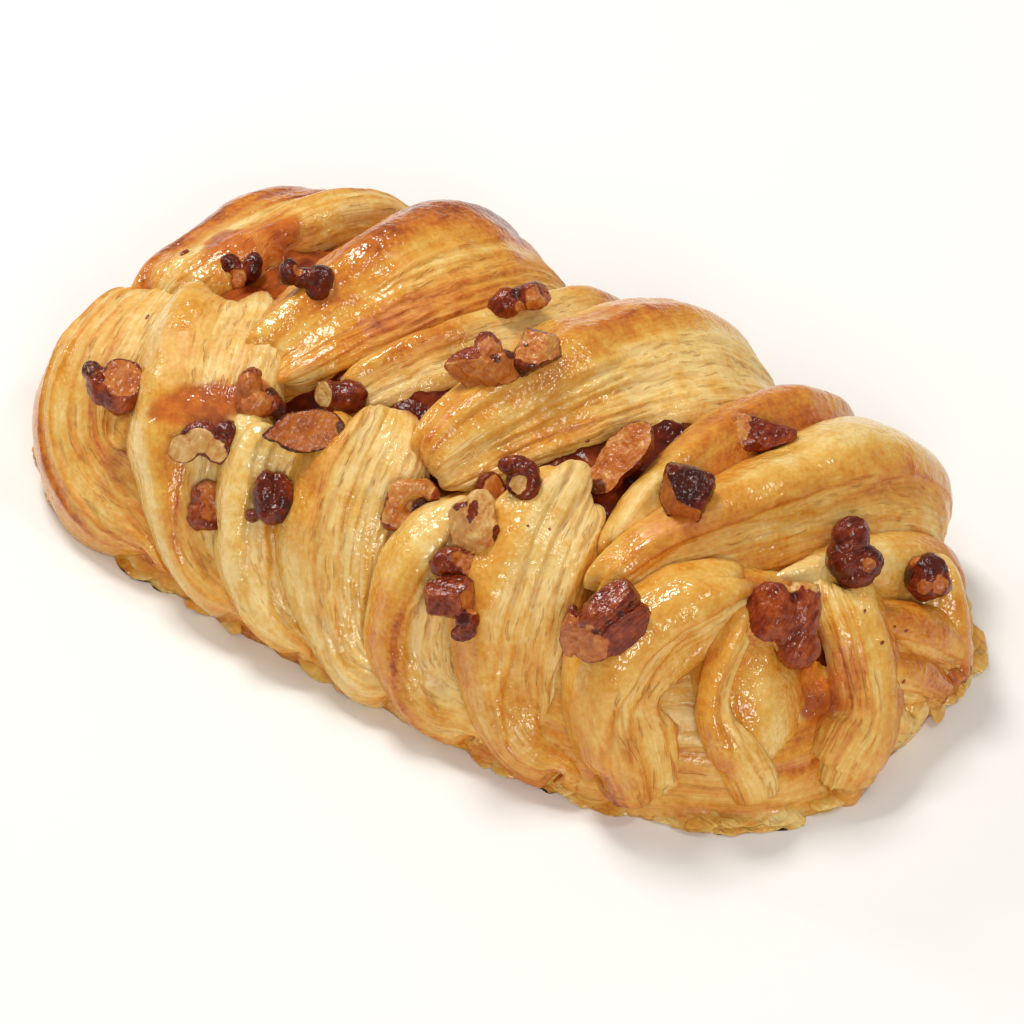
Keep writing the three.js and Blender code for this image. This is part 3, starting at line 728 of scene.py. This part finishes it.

# Pecans: chopped halves pressed into the dough before baking, each its own lump with lobes and chopped faces.
# The skin is red-brown and ridged, the chopped flesh is tan, and a thin glaze makes both shine.

# Each piece in millimetres from its own middle, as seen from the front: right, up and towards the eye.
# lobes: the place, the three radii and the tilt in degrees of each lobe.
# chops: the way each chopped face looks, how far out it is, and how bare of skin, from 0 to 1.
# bare, skin and the dark spots: the place and radius of spots without skin, with skin, and dark spots, which
# are burnt sugar and, in the crevices, painted shade.
# at: where the piece lies beside the middle of its solid. sunk: the share of its height in the dough.
# tone and pale: how light its skin and its flesh are. way: how its ridges run, in degrees.
# core: the share of its span that a plain lump in its middle fills. crumble: how rough its flesh is.
PECANS = {
    "pecan_01": dict(
        lobes=[
            (2.3, -1.2, 0, 3.2, 3.9, 3.2, 0), (-0.6, -1.3, -0.2, 1.6, 2.5, 2.4, 15),
            (-1.6, 1.0, 0.5, 1.3, 1.2, 1.5, 0),
        ],
        chops=[(0.15, 0.5, 0.85, 1.6, 1)],
        charred=[(-1.8, 1.3, 1.2, 1.3)],
        at=(-1.9, 0.9), tone=0.42, pale=0.25, sunk=0.02,
    ),
    "pecan_02": dict(
        lobes=[
            (-3.4, 3.3, 0, 1.4, 1.3, 1.5, 0), (-0.2, 2.9, 0, 1.3, 1.9, 1.7, -10),
            (-1.9, 2.0, -0.3, 1.6, 1.5, 1.5, 0), (-2.4, 0.5, 0.2, 0.9, 0.9, 1.0, 0),
        ],
        bare=[(-2.3, 1.4, 1.2, 1.2), (-2.4, 0.3, 1.0, 1.2)],
        charred=[(0.1, 2.3, 1.3, 1.1)],
        tone=0.2, pale=0.3, sunk=0.55,
    ),
    "pecan_03": dict(
        lobes=[
            (-2.3, 1.5, 0.2, 1.3, 1.7, 1.6, -15), (2.0, 0.6, 0, 1.8, 2.0, 1.9, 0),
            (1.7, -1.2, 0.1, 1.5, 1.3, 1.7, 0), (-0.2, 0.8, -0.2, 1.7, 1.3, 1.5, 0),
        ],
        bare=[(-1.0, 1.8, 1.4, 0.8)],
        charred=[(-2.4, 2.8, 0.8, 1.0), (2.2, 2.2, 1.0, 1.0)],
        at=(0.3, -1.6), tone=0.2, pale=0.3, sunk=0.5,
    ),
    "pecan_04": dict(
        lobes=[
            (-1.3, 1.8, 0, 1.6, 2.4, 2.0, -15), (-0.6, -1.0, 0.1, 2.5, 1.9, 2.2, 0),
            (2.2, -0.9, -0.5, 1.0, 2.7, 1.8, 30),
        ],
        bare=[(-1.2, 0.6, 1.4, 3.4)],
        charred=[(3.0, -1.8, 0.6, 1.3), (1.8, 0.8, 0.4, 1.0)],
        at=(-0.5, 0.6), tone=0.5, pale=0.22, sunk=0.42,
    ),
    "pecan_05": dict(
        lobes=[(0.9, 0.4, 0, 2.6, 2.2, 2.4, 0), (-1.9, 0.7, 0, 1.9, 1.7, 2.2, 0)],
        chops=[(-0.8, -0.1, 0.6, 2.2, 1)],
        at=(-0.9, 1.9), tone=0.32, pale=0.75,
    ),
    "pecan_06": dict(
        lobes=[
            (0.9, 0, -0.4, 4.9, 2.8, 2.2, 4), (-3.0, -0.4, -0.4, 2.0, 1.1, 1.3, 10),
            (-4.4, -0.5, -0.4, 0.8, 0.4, 0.6, 12),
        ],
        chops=[(0, 0.05, 1.0, 0.15, 1)],
        charred=[(5.6, 0.4, 0.0, 1.3)],
        at=(-0.2, 0.2), tone=0.1, pale=0.22, crumble=0.15, sunk=-0.1,
    ),
    "pecan_07": dict(
        lobes=[
            (-2.2, -1.6, 0, 2.0, 1.8, 2.0, 20), (0.2, -0.2, 0, 2.6, 2.2, 2.0, 0),
            (2.4, -1.6, 0, 1.7, 2.0, 2.0, 0), (3.3, 0.2, -0.6, 1.9, 2.0, 2.0, -30),
        ],
        chops=[(-0.15, -0.3, 0.94, 1.1, 1)],
        at=(-0.4, 0.1), tone=0.28, pale=0.72, core=0.7,
    ),
    "pecan_08": dict(
        lobes=[
            (-0.5, 0.9, 0, 2.0, 2.2, 1.9, 0), (-0.4, -1.6, 0, 2.4, 2.2, 2.0, 0),
            (-1.8, -1.6, -0.2, 1.2, 2.2, 1.7, 0),
        ],
        chops=[(0.35, 0, 0.94, 1.3, 0.9)],
        bare=[(0.0, 1.4, 1.2, 1.8)],
        at=(1.0, 0.1), tone=0.5, pale=0.25, sunk=0.42,
    ),
    "pecan_09": dict(
        lobes=[
            (0.6, 0.5, 0.4, 1.6, 3.1, 2.1, -5), (2.8, 0.3, 0, 1.6, 3.3, 2.1, 8),
            (1.6, -1.9, 0.1, 2.2, 1.7, 2.1, 0), (-1.1, -2.4, -0.6, 0.9, 0.8, 1.0, 0),
        ],
        charred=[(3.0, -0.8, 1.6, 0.9)],
        at=(-0.8, 0.1), tone=0.24, pale=0.3, way=80,
    ),
    "pecan_10": dict(
        lobes=[
            (-3.8, 1.4, 0, 2.5, 2.0, 2.0, 35), (-0.2, 2.5, 0, 2.8, 1.9, 2.0, 10),
            (-2.2, 2.5, -0.4, 2.0, 1.3, 1.6, 20),
        ],
        chops=[(0.1, -0.6, 0.8, 1.1, 0.9), (0.75, 0.5, 0.45, 2.6, 0.4)],
        bare=[(0.3, 2.0, 1.6, 1.8), (-2.0, 1.0, 1.2, 0.9)],
        charred=[(-2.5, 2.8, 1.2, 0.9)],
        at=(-0.3, -1.7), tone=0.42, pale=0.3, sunk=0.36,
    ),
    "pecan_11": dict(
        lobes=[
            (-2.2, -1.2, 0, 4.2, 2.6, 2.8, 8), (-0.5, 1.3, 0, 1.7, 2.2, 2.2, 20),
            (1.4, -1.4, -0.1, 2.6, 2.2, 2.5, 30), (-1.6, -3.4, -0.2, 2.4, 1.9, 2.2, 10),
        ],
        chops=[
            (0.5, -0.3, 0.8, 2.3, 1), (-0.4, -0.6, 0.7, 2.7, 0.7), (-0.5, 0.6, 0.6, 2.4, 0.2),
            (0.6, 0.7, 0.4, 2.1, 0.6),
        ],
        bare=[(-0.5, 1.6, 1.7, 1.8), (1.8, -1.8, 1.8, 2.4), (-1.6, -3.8, 1.6, 2.0), (-0.8, -1.0, 2.4, 1.4)],
        charred=[(2.6, 0.7, 1.2, 1.1), (0.7, -0.3, 2.2, 0.6)],
        tone=0.5, pale=0.34,
    ),
    "pecan_12": dict(
        lobes=[(-1.0, -1.9, 0, 3.8, 3.7, 3.0, 0)],
        chops=[
            (-0.05, 0.42, 0.9, 1.0, 1), (0.66, 0.25, 0.7, 1.3, 0.9), (0.2, 0.97, 0.1, 0.8, 0.4),
            (-0.9, 0.42, 0.1, 2.6, 0.6), (0.95, 0.15, 0.1, 2.0, 0.3), (0.5, -0.85, 0.1, 3.0, 0),
        ],
        charred=[(-2.3, -0.8, 1.5, 0.4)],
        tone=0.26, pale=0.42,
    ),
    "pecan_13": dict(
        lobes=[
            (-2.9, -1.9, 0, 1.4, 1.9, 1.6, -20), (-2.6, -0.3, 0, 1.4, 1.8, 1.6, -20),
            (-1.9, 1.1, 0, 1.5, 1.6, 1.6, -40), (-0.7, 1.8, 0, 1.7, 1.3, 1.6, -10),
            (0.7, 1.9, 0, 1.7, 1.1, 1.6, 0), (2.1, 1.2, 0, 1.4, 0.9, 1.5, -30),
            (-1.6, -2.7, 0, 1.7, 1.2, 1.5, 15), (-0.6, -2.8, 0, 1.5, 0.9, 1.4, 25),
            (0.9, -0.6, -1.2, 2.2, 2.0, 1.0, 0),
        ],
        bare=[(-0.6, 1.6, 1.2, 3.0), (-2.0, -1.6, 1.4, 2.4)],
        charred=[(1.1, -0.7, -0.3, 1.7)],
        at=(-0.6, 0.4), tone=0.4, pale=0.5, sunk=0.4,
    ),
    "pecan_14": dict(
        lobes=[(-0.4, 0.7, 0, 1.9, 1.9, 1.7, 0), (0.2, -0.7, 0, 1.0, 1.1, 1.4, 0)],
        chops=[(0.45, 0, 0.89, 0.6, 1)],
        at=(-0.3, 0.6), tone=0.3, pale=0.4,
    ),
    "pecan_15": dict(
        lobes=[
            (-3.7, 2.5, 0.2, 1.2, 1.1, 1.3, 0), (-2.4, 2.8, 0.1, 1.4, 1.0, 1.3, -10),
            (-1.0, 2.0, 0, 1.3, 1.2, 1.4, -40), (-0.4, 0.3, 0, 0.9, 1.6, 1.4, 0),
            (-1.2, -1.2, 0, 1.5, 0.9, 1.3, 10), (-2.2, 0.2, -0.4, 1.8, 1.8, 1.2, 0),
        ],
        bare=[(-2.3, 0.0, 0.6, 1.4)],
        charred=[(-3.6, 1.9, 1.0, 0.6)],
        at=(0.5, -2.2), tone=0.3, pale=0.72,
    ),
    "pecan_16": dict(
        lobes=[
            (-0.6, -0.4, 0, 3.2, 3.2, 2.5, 0), (0, 2.5, 0, 2.0, 2.4, 2.1, 0),
            (-2.4, 2.0, -0.2, 1.8, 1.4, 1.8, 25),
        ],
        chops=[(0.3, 0.35, 0.89, 2.2, 0), (-0.6, -0.2, 0.77, 2.0, 0)],
        bare=[(0, 0, 0, 12)],
        skin=[
            (-0.5, 3.5, 1.8, 0.7), (-0.8, 2.9, 2.0, 0.8), (-1.0, 2.2, 2.1, 0.8), (-1.3, 1.5, 2.2, 0.7),
            (-1.5, 0.8, 2.2, 0.6), (-2.2, 3.3, 1.3, 0.7), (-3.2, 2.9, 1.2, 0.7), (2.4, -0.3, 1.5, 0.8),
            (2.4, -1.2, 1.4, 0.8),
        ],
        at=(0.7, -0.8), tone=0.34, pale=0.66, sunk=0.34,
    ),
    "pecan_17": dict(
        lobes=[(-0.6, 0.6, 0, 2.6, 1.9, 2.0, 12), (2.2, 0.2, 0, 1.7, 1.6, 1.8, 0)],
        chops=[(0.45, 0.1, 0.89, 1.5, 0.8)],
        charred=[(2.9, 1.7, 0.8, 0.7), (-0.4, -1.7, 1.0, 0.9)],
        at=(0.8, -0.3), tone=0.36, pale=0.3,
    ),
    "pecan_18": dict(
        lobes=[(-0.6, 0.4, 0, 3.9, 3.2, 3.2, 0)],
        chops=[
            (-0.25, -0.35, 0.9, 1.6, 0.2), (-0.15, 0.75, 0.65, 2.0, 0), (0.75, -0.1, 0.65, 1.7, 0.7),
            (-0.95, -0.1, 0.2, 3.7, 0), (-0.1, -0.98, 0.1, 2.0, 0), (0.95, 0.1, 0.1, 2.5, 0.5),
        ],
        tone=0.42, pale=0.18, way=80,
    ),
    "pecan_19": dict(
        lobes=[(0.6, 1.0, 0, 1.5, 1.5, 1.4, 20), (0.1, -0.8, 0.1, 1.6, 1.0, 1.4, 10)],
        chops=[(-0.1, -0.5, 0.85, 0.9, 0.4)],
        bare=[(1.2, 2.3, 0.8, 0.8)],
        charred=[(0.2, 1.0, 1.2, 0.8)],
        tone=0.3, pale=0.3,
    ),
    "pecan_20": dict(
        lobes=[(-0.9, 1.6, 0, 5.0, 2.9, 3.4, 46), (-3.5, -1.6, 0.1, 2.6, 2.3, 3.0, 20)],
        chops=[(-0.5, 0.4, 0.77, 1.5, 1), (-0.3, 0.95, 0.1, 5.2, 0.8), (0.9, 0.4, 0.2, 4.6, 0.3)],
        charred=[(-4.2, -3.2, 0.6, 1.4)],
        at=(-0.1, -0.4), tone=0.3, pale=0.36, crumble=0.8,
    ),
    "pecan_21": dict(
        lobes=[(0, 0.4, 0, 4.0, 4.4, 3.6, 0)],
        chops=[
            (0.1, 0.25, 0.96, 2.1, 0), (-0.88, -0.2, 0.43, 2.4, 1), (-0.3, -0.75, 0.58, 2.5, 1),
            (0.25, 0.96, 0.1, 3.4, 0), (0.9, -0.4, 0.15, 3.0, 0), (-0.97, 0.2, 0.1, 3.2, 0.6),
            (0.1, -0.99, 0.1, 3.9, 0.4),
        ],
        charred=[(0.2, 1.2, 2.0, 2.5)],
        at=(-0.4, -1.4), tone=0.16, pale=0.22,
    ),
    "pecan_22": dict(
        lobes=[(-1.6, 0.3, -0.6, 3.1, 2.5, 1.7, 0), (1.8, -0.2, -0.6, 3.5, 2.2, 1.6, 5)],
        chops=[
            (0, 0.1, 1, 0.5, 0), (0.3, 0.95, 0.1, 2.1, 0.4), (0.3, -0.95, 0.1, 2.3, 0.2),
            (-0.95, 0.2, 0.1, 4.0, 0.6),
        ],
        bare=[(-3.4, 0.9, 0.4, 2.9)],
        at=(-0.1, -0.3), tone=0.4, pale=0.45, sunk=0.4,
    ),
    "pecan_23": dict(
        lobes=[
            (0.6, 1.7, 0, 5.4, 2.4, 3.6, 42), (2.3, -1.1, 0, 4.4, 2.4, 3.6, 42),
            (-1.6, -2.9, -0.2, 2.8, 2.6, 3.2, 20), (-4.5, -1.6, -1.4, 1.0, 3.7, 2.2, -8),
        ],
        chops=[
            (-0.5, -0.55, 0.67, 3.0, 0.9), (0.4, -0.5, 0.77, 3.1, 0.2), (-0.3, 0.6, 0.74, 3.4, 0.1),
            (0.75, 0.65, 0.1, 5.6, 0.3),
        ],
        bare=[(-4.6, -1.6, 0.4, 2.4), (-1.8, -4.6, 1.2, 1.6)],
        charred=[(-1.0, -1.3, 2.4, 0.7), (0.4, 0, 2.6, 0.7), (1.8, 1.2, 2.6, 0.7), (3.2, 2.4, 2.2, 0.7)],
        at=(0.3, -0.4), tone=0.4, pale=0.26, way=42,
    ),
    "pecan_24": dict(
        lobes=[
            (-0.8, 0.9, 0.3, 4.4, 3.8, 3.2, 45), (3.6, 0.8, -0.6, 2.4, 5.2, 2.6, -8),
            (3.2, -3.4, -0.6, 2.9, 2.9, 2.3, 15),
        ],
        chops=[(-0.55, 0.3, 0.78, 2.7, 0), (0.1, 0.99, 0.1, 5.2, 0.9)],
        bare=[
            (-4.4, -0.6, 0.9, 1.9), (-3.7, -1.9, 1.0, 1.9), (-2.5, -3.0, 1.1, 1.8), (-1.2, -3.9, 1.0, 1.8),
            (2.4, 5.6, 0.8, 1.8), (4.8, 5.4, 0.6, 1.8),
        ],
        charred=[(2.6, 3.4, 1.4, 0.6), (2.1, 2.2, 1.7, 0.6), (1.6, 1.0, 2.0, 0.6), (1.2, -0.2, 2.2, 0.6)],
        tone=0.5, pale=0.62, way=60, core=0.62,
    ),
    "pecan_25": dict(
        lobes=[
            (0, 1.2, 0, 2.5, 3.0, 2.6, -10), (-0.9, -1.6, 0.2, 2.4, 2.7, 2.7, 20),
            (2.2, -2.0, 0, 1.9, 2.2, 2.4, 0), (0.6, -3.7, -0.1, 2.5, 1.7, 2.3, 0),
        ],
        bare=[(2.2, -2.2, 2.0, 1.1)],
        charred=[(2.9, -0.8, 1.4, 0.9)],
        at=(0.3, 0.3), tone=0.24, pale=0.15, way=30,
    ),
    "pecan_26": dict(
        lobes=[(-1.3, -0.4, 0, 2.9, 3.1, 2.8, 0), (0.2, -1.4, 0.2, 1.6, 1.7, 2.2, 0)],
        bare=[(-3.2, 2.2, 1.0, 1.0), (0.2, -1.4, 2.0, 1.4), (-1.6, -1.6, 2.4, 1.2)],
        charred=[(-1.2, 1.5, 1.8, 1.8), (0.6, 1.4, 1.4, 1.2), (-3.7, -0.2, 1.0, 1.3)],
        at=(-0.4, -0.2), tone=0.36, pale=0.3,
    ),
}
NUT_VOXEL = 0.2
NUT_SWELL = 0.2
NUT_SUNK = 0.25
NUT_CHOPPED = 0.93
RIDGE_WAY = 55
SEAT_PROBES = 12
SEAT_REACH = 0.7
SEAT_START = 0.03
SEAT_SHARE = 68
SEAT_LOWEST = -0.006
SEAT_HIGHEST = 0.004
NUT_GROUNDS = [bpy.data.objects[name] for name in list(FLAPS) + ["base", "filling_paste"]]


def nut_lump(name, lobes, core):
    """One closed lump from lobes that run into each other."""
    lump = bmesh.new()
    weights = np.array([lobe[3] * lobe[4] for lobe in lobes])
    rows = np.array(lobes, float)
    heart = weights @ rows[:, :3] / weights.sum()
    span = (rows[:, :2] + rows[:, 3:5]).max(axis=0) - (rows[:, :2] - rows[:, 3:5]).min(axis=0)
    middle = (*heart, *(span * core / 2 - NUT_SWELL), rows[:, 5].mean() * 0.8, 0.0)
    for right, rise, towards, wide, high, deep, tilt in [*lobes, middle] if core else lobes:
        place = Matrix.Translation((right, rise, towards)) @ Matrix.Rotation(math.radians(tilt), 4, "Z")
        stretch = Matrix.Diagonal((wide + NUT_SWELL, high + NUT_SWELL, deep + NUT_SWELL, 1.0))
        bmesh.ops.create_icosphere(lump, subdivisions=3, radius=1.0, matrix=place @ stretch)
    mesh = made_mesh(name + "_lobes", lump)
    lobed = add_object(name + "_lobes", mesh)
    fuse = lobed.modifiers.new("fuse", "REMESH")
    fuse.mode = "VOXEL"
    fuse.voxel_size = NUT_VOXEL
    whole = bpy.data.meshes.new_from_object(lobed.evaluated_get(bpy.context.evaluated_depsgraph_get()))
    bpy.data.objects.remove(lobed)
    bpy.data.meshes.remove(mesh)
    shell = bmesh.new()
    shell.from_mesh(whole)
    every_way = {"use_axis_x": True, "use_axis_y": True, "use_axis_z": True}
    for _ in range(2):
        bmesh.ops.smooth_vert(shell, verts=shell.verts, factor=0.5, **every_way)
    bmesh.ops.triangulate(shell, faces=shell.faces)
    shell.to_mesh(whole)
    shell.free()
    whole.name = name
    return whole


def spots(rows, places, seed):
    """How far each point lies in one of the spots, from 0 to 1."""
    cover = np.zeros(len(rows))
    for right, rise, towards, radius in places:
        far = np.linalg.norm(rows - np.array([right, rise, towards]), axis=1) / radius
        far = far + 0.22 * grain(rows * 0.9 + seed, 76) + 0.12 * grain(rows * 2.2, 77)
        cover = np.maximum(cover, 1.0 - smooth(far, 0.85, 1.05))
    return cover


def pecan_mesh(node, pecan, seed):
    """One nut: its lump, wrinkled, chopped, turned to the front and laid on the dough."""
    mesh = nut_lump("nut_" + node[-2:], pecan["lobes"], pecan.get("core", 0))
    rows = mesh_rows(mesh, "co", 3)
    outward = mesh_rows(mesh, "normal", 3)
    wrinkle = 0.5 - np.abs(grain(rows * np.array([0.32, 0.7, 0.5]) + seed, 70))
    dimple = grain(rows * 1.1 + seed, 71)
    rows = rows + outward * (0.3 * wrinkle + 0.1 * dimple - 0.08)[:, None]
    bare = spots(rows, pecan.get("bare", ()), seed)
    for right, rise, towards, depth, skinned in pecan.get("chops", ()):
        way = np.array((right, rise, towards))
        way = way / np.linalg.norm(way)
        over = rows @ way - depth - 0.14 * grain(rows * 0.55 + seed, 73) - 0.08 * grain(rows * 1.6 + seed, 78)
        bare = np.maximum(bare, skinned * smooth(over, 0.0, 0.6))
        rows = rows - np.outer(np.maximum(over, 0.0) * NUT_CHOPPED, way)
    bare = bare * (1.0 - spots(rows, pecan.get("skin", ()), seed + 3))
    charred = spots(rows, pecan.get("charred", ()), seed + 5)
    crumb = 0.07 * grain(rows * 2.6 + seed, 74) + 0.04 * grain(rows * 5.0, 75)
    broken = 0.22 * grain(rows * 0.6 + seed, 79) + 0.12 * grain(rows * 1.4 + seed, 82)
    crumb = crumb + pecan.get("crumble", 1.0) * bare * broken
    rows = rows + outward * crumb[:, None]
    lowest, highest = (np.array(corner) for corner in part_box(node))
    turn_out = np.array((view_right, view_up, view_back))
    aside = np.array([*pecan.get("at", (0, 0)), 0.0])
    placed = ((rows + aside) @ turn_out) * MM + (lowest + highest) / 2
    set_rows(mesh, placed + seat_lift(placed, pecan.get("sunk", NUT_SUNK)))
    ridge_turn = np.array(Matrix.Rotation(math.radians(pecan.get("way", RIDGE_WAY)), 3, "Z"))
    add_attributes(mesh, ridged=rows @ ridge_turn + 20.0 * seed, bare=bare, charred=charred)
    add_attributes(mesh, dent=smooth(-wrinkle, -0.15, 0.25), tone=pecan["tone"], pale=pecan["pale"])
    return mesh


def seat_lift(placed, sunk):
    """How far a piece moves along the line of sight until it lies partly sunk in what is under it."""
    middle = (placed.min(axis=0) + placed.max(axis=0)) / 2
    plan = (middle / MM - PLAN_SHIFT)[None, :]
    plan[0, 2] = dome_height(plan)[0]
    out = dome_normal(plan)[0]
    sight = np.array(view_back)
    heights = (placed - middle) @ out
    half = (np.percentile(heights, 98) - np.percentile(heights, 2)) / 2
    grounds = []
    for turn in np.linspace(0.0, 2 * math.pi, SEAT_PROBES, endpoint=False):
        aside = np.array(view_right) * math.cos(turn) + np.array(view_up) * math.sin(turn)
        start = middle + aside * half * SEAT_REACH + sight * SEAT_START
        hits = [ground.ray_cast(Vector(start), Vector(-sight)) for ground in NUT_GROUNDS]
        depths = [(np.array(hit[1]) - middle) @ sight for hit in hits if hit[0]]
        if depths:
            grounds.append(max(depths))
    lift = np.percentile(grounds, SEAT_SHARE) + half * (1.0 - 2.0 * sunk) / max(0.5, out @ sight)
    return sight * np.clip(lift, SEAT_LOWEST, SEAT_HIGHEST)


nut, nut_nodes = new_material("toasted_pecan")
bare = nut_nodes.attribute("bare")
charred = nut_nodes.attribute("charred")
dent = nut_nodes.attribute("dent")
tone = nut_nodes.attribute("tone")
pale = nut_nodes.attribute("pale")
nut_place = nut_nodes.make("ShaderNodeTexCoord")["Object"]
nut_mottle = nut_nodes.noise(nut_place, 420.0, 4.0, 0.6)
nut_fine = nut_nodes.noise(nut_place, 1300.0, 2.0)
ridge_place = nut_nodes.stretch(nut_nodes.attribute("ridged", "Vector"), (0.3, 2.0, 1.2))
ridges = nut_nodes.noise(ridge_place, 1.0, 3.0)
# Painted shade: the skin colour is darker in the dents of the wrinkles, where shade falls.
skin_colour = nut_nodes.ramp(
    tone + (nut_mottle - 0.5) * 0.9 + (ridges - 0.5) * 0.7 - dent * 0.12 + (nut_fine - 0.5) * 0.3,
    (0.0, 62, 14, 6), (0.35, 118, 38, 13), (0.65, 164, 72, 24), (1.0, 202, 114, 42),
)
flesh_colour = nut_nodes.ramp(
    pale + (nut_mottle - 0.45) * 1.2 + (ridges - 0.5) * 0.6 + (nut_fine - 0.5) * 0.4,
    (0.0, 152, 68, 22), (0.4, 190, 106, 40), (0.7, 208, 150, 78), (1.0, 228, 188, 120),
)
# The dark spots are burnt sugar, and those in the crevices between lobes are painted shade.
char_and_shade_colour = nut_nodes.blend(nut_mottle, (*linear(30, 9, 6), 1), (*linear(84, 26, 16), 1))
skinless = nut_nodes.band(bare + (nut_mottle - 0.5) * 1.2 + (nut_fine - 0.5) * 0.5, 0.3, 0.8)
nut_colour = nut_nodes.blend(skinless, skin_colour, flesh_colour)
nut_nodes.feed("Base Color", nut_nodes.blend(charred * 0.85, nut_colour, char_and_shade_colour))
nut_nodes.feed("Roughness", 0.15 + bare * 0.1 + (nut_mottle - 0.5) * 0.2)
nut_nodes.feed("Specular IOR Level", 0.4)
nut_nodes.feed("Normal", nut_nodes.bump(nut_mottle * 0.5 + nut_fine * 0.6 + ridges * 0.5, 0.6, 0.0004))

for number, (pecan_name, pecan) in enumerate(PECANS.items()):
    add_piece("nut_" + pecan_name[-2:], pecan_mesh(pecan_name, pecan, number + 1), nut, "pecan", pecan_name)

# Crumbs: specks of toasted nut and burnt sugar that stick to the glaze, each half sunk in the dough.
# They are given by their place in plan and their length in millimetres.
CRUMBS = [
    (64.4, -1.5, 1.1), (64.3, 2.3, 0.8), (65.2, 3.6, 1.0), (67.9, -0.4, 0.9), (61.2, -1.0, 0.8),
    (-54.0, -1.5, 2.2), (-50.5, -15.0, 1.3), (-47.0, -7.0, 1.6), (23.2, -22.9, 0.7), (25.2, -21.6, 0.7),
    (1.4, -6.3, 1.0), (18.2, -3.3, 0.9),
]
CRUMB_SHAPE = Vector((1 / 2.4, 1 / 4, 1 / 6))
CRUMB_START = 0.02
crumbs = bmesh.new()
for crumb_x, crumb_y, crumb_length in CRUMBS:
    crumb_top = np.array([[crumb_x, crumb_y, 0.0]])
    crumb_top[0, 2] = dome_height(crumb_top)[0]
    crumb_out = dome_normal(crumb_top)[0]
    crumb_start = (crumb_top[0] + PLAN_SHIFT) * MM + crumb_out * CRUMB_START
    crumb_hits = [ground.ray_cast(Vector(crumb_start), Vector(-crumb_out)) for ground in NUT_GROUNDS]
    crumb_seat = max((hit[1] for hit in crumb_hits if hit[0]), key=lambda spot: np.array(spot) @ crumb_out)
    crumb_turn = Vector(crumb_out).to_track_quat("Z", "Y").to_matrix().to_4x4()
    crumb_stretch = Matrix.Diagonal(CRUMB_SHAPE * crumb_length * MM).to_4x4()
    crumb_place = Matrix.Translation(crumb_seat) @ crumb_turn @ crumb_stretch
    bmesh.ops.create_icosphere(crumbs, subdivisions=2, radius=1.0, matrix=crumb_place)
crumb_mesh = made_mesh("crumbs", crumbs)
crumb_rows = mesh_rows(crumb_mesh, "co", 3)
crumb_lumps = columns(*(grain(crumb_rows / MM * 1.3, seed) for seed in (90, 91, 92)))
set_rows(crumb_mesh, crumb_rows + 0.15 * MM * crumb_lumps)
add_attributes(crumb_mesh, ridged=crumb_rows / MM, bare=0.0, charred=0.0, dent=0.0, tone=0.45, pale=0.2)
add_piece("crumbs", crumb_mesh, nut, "pecan")
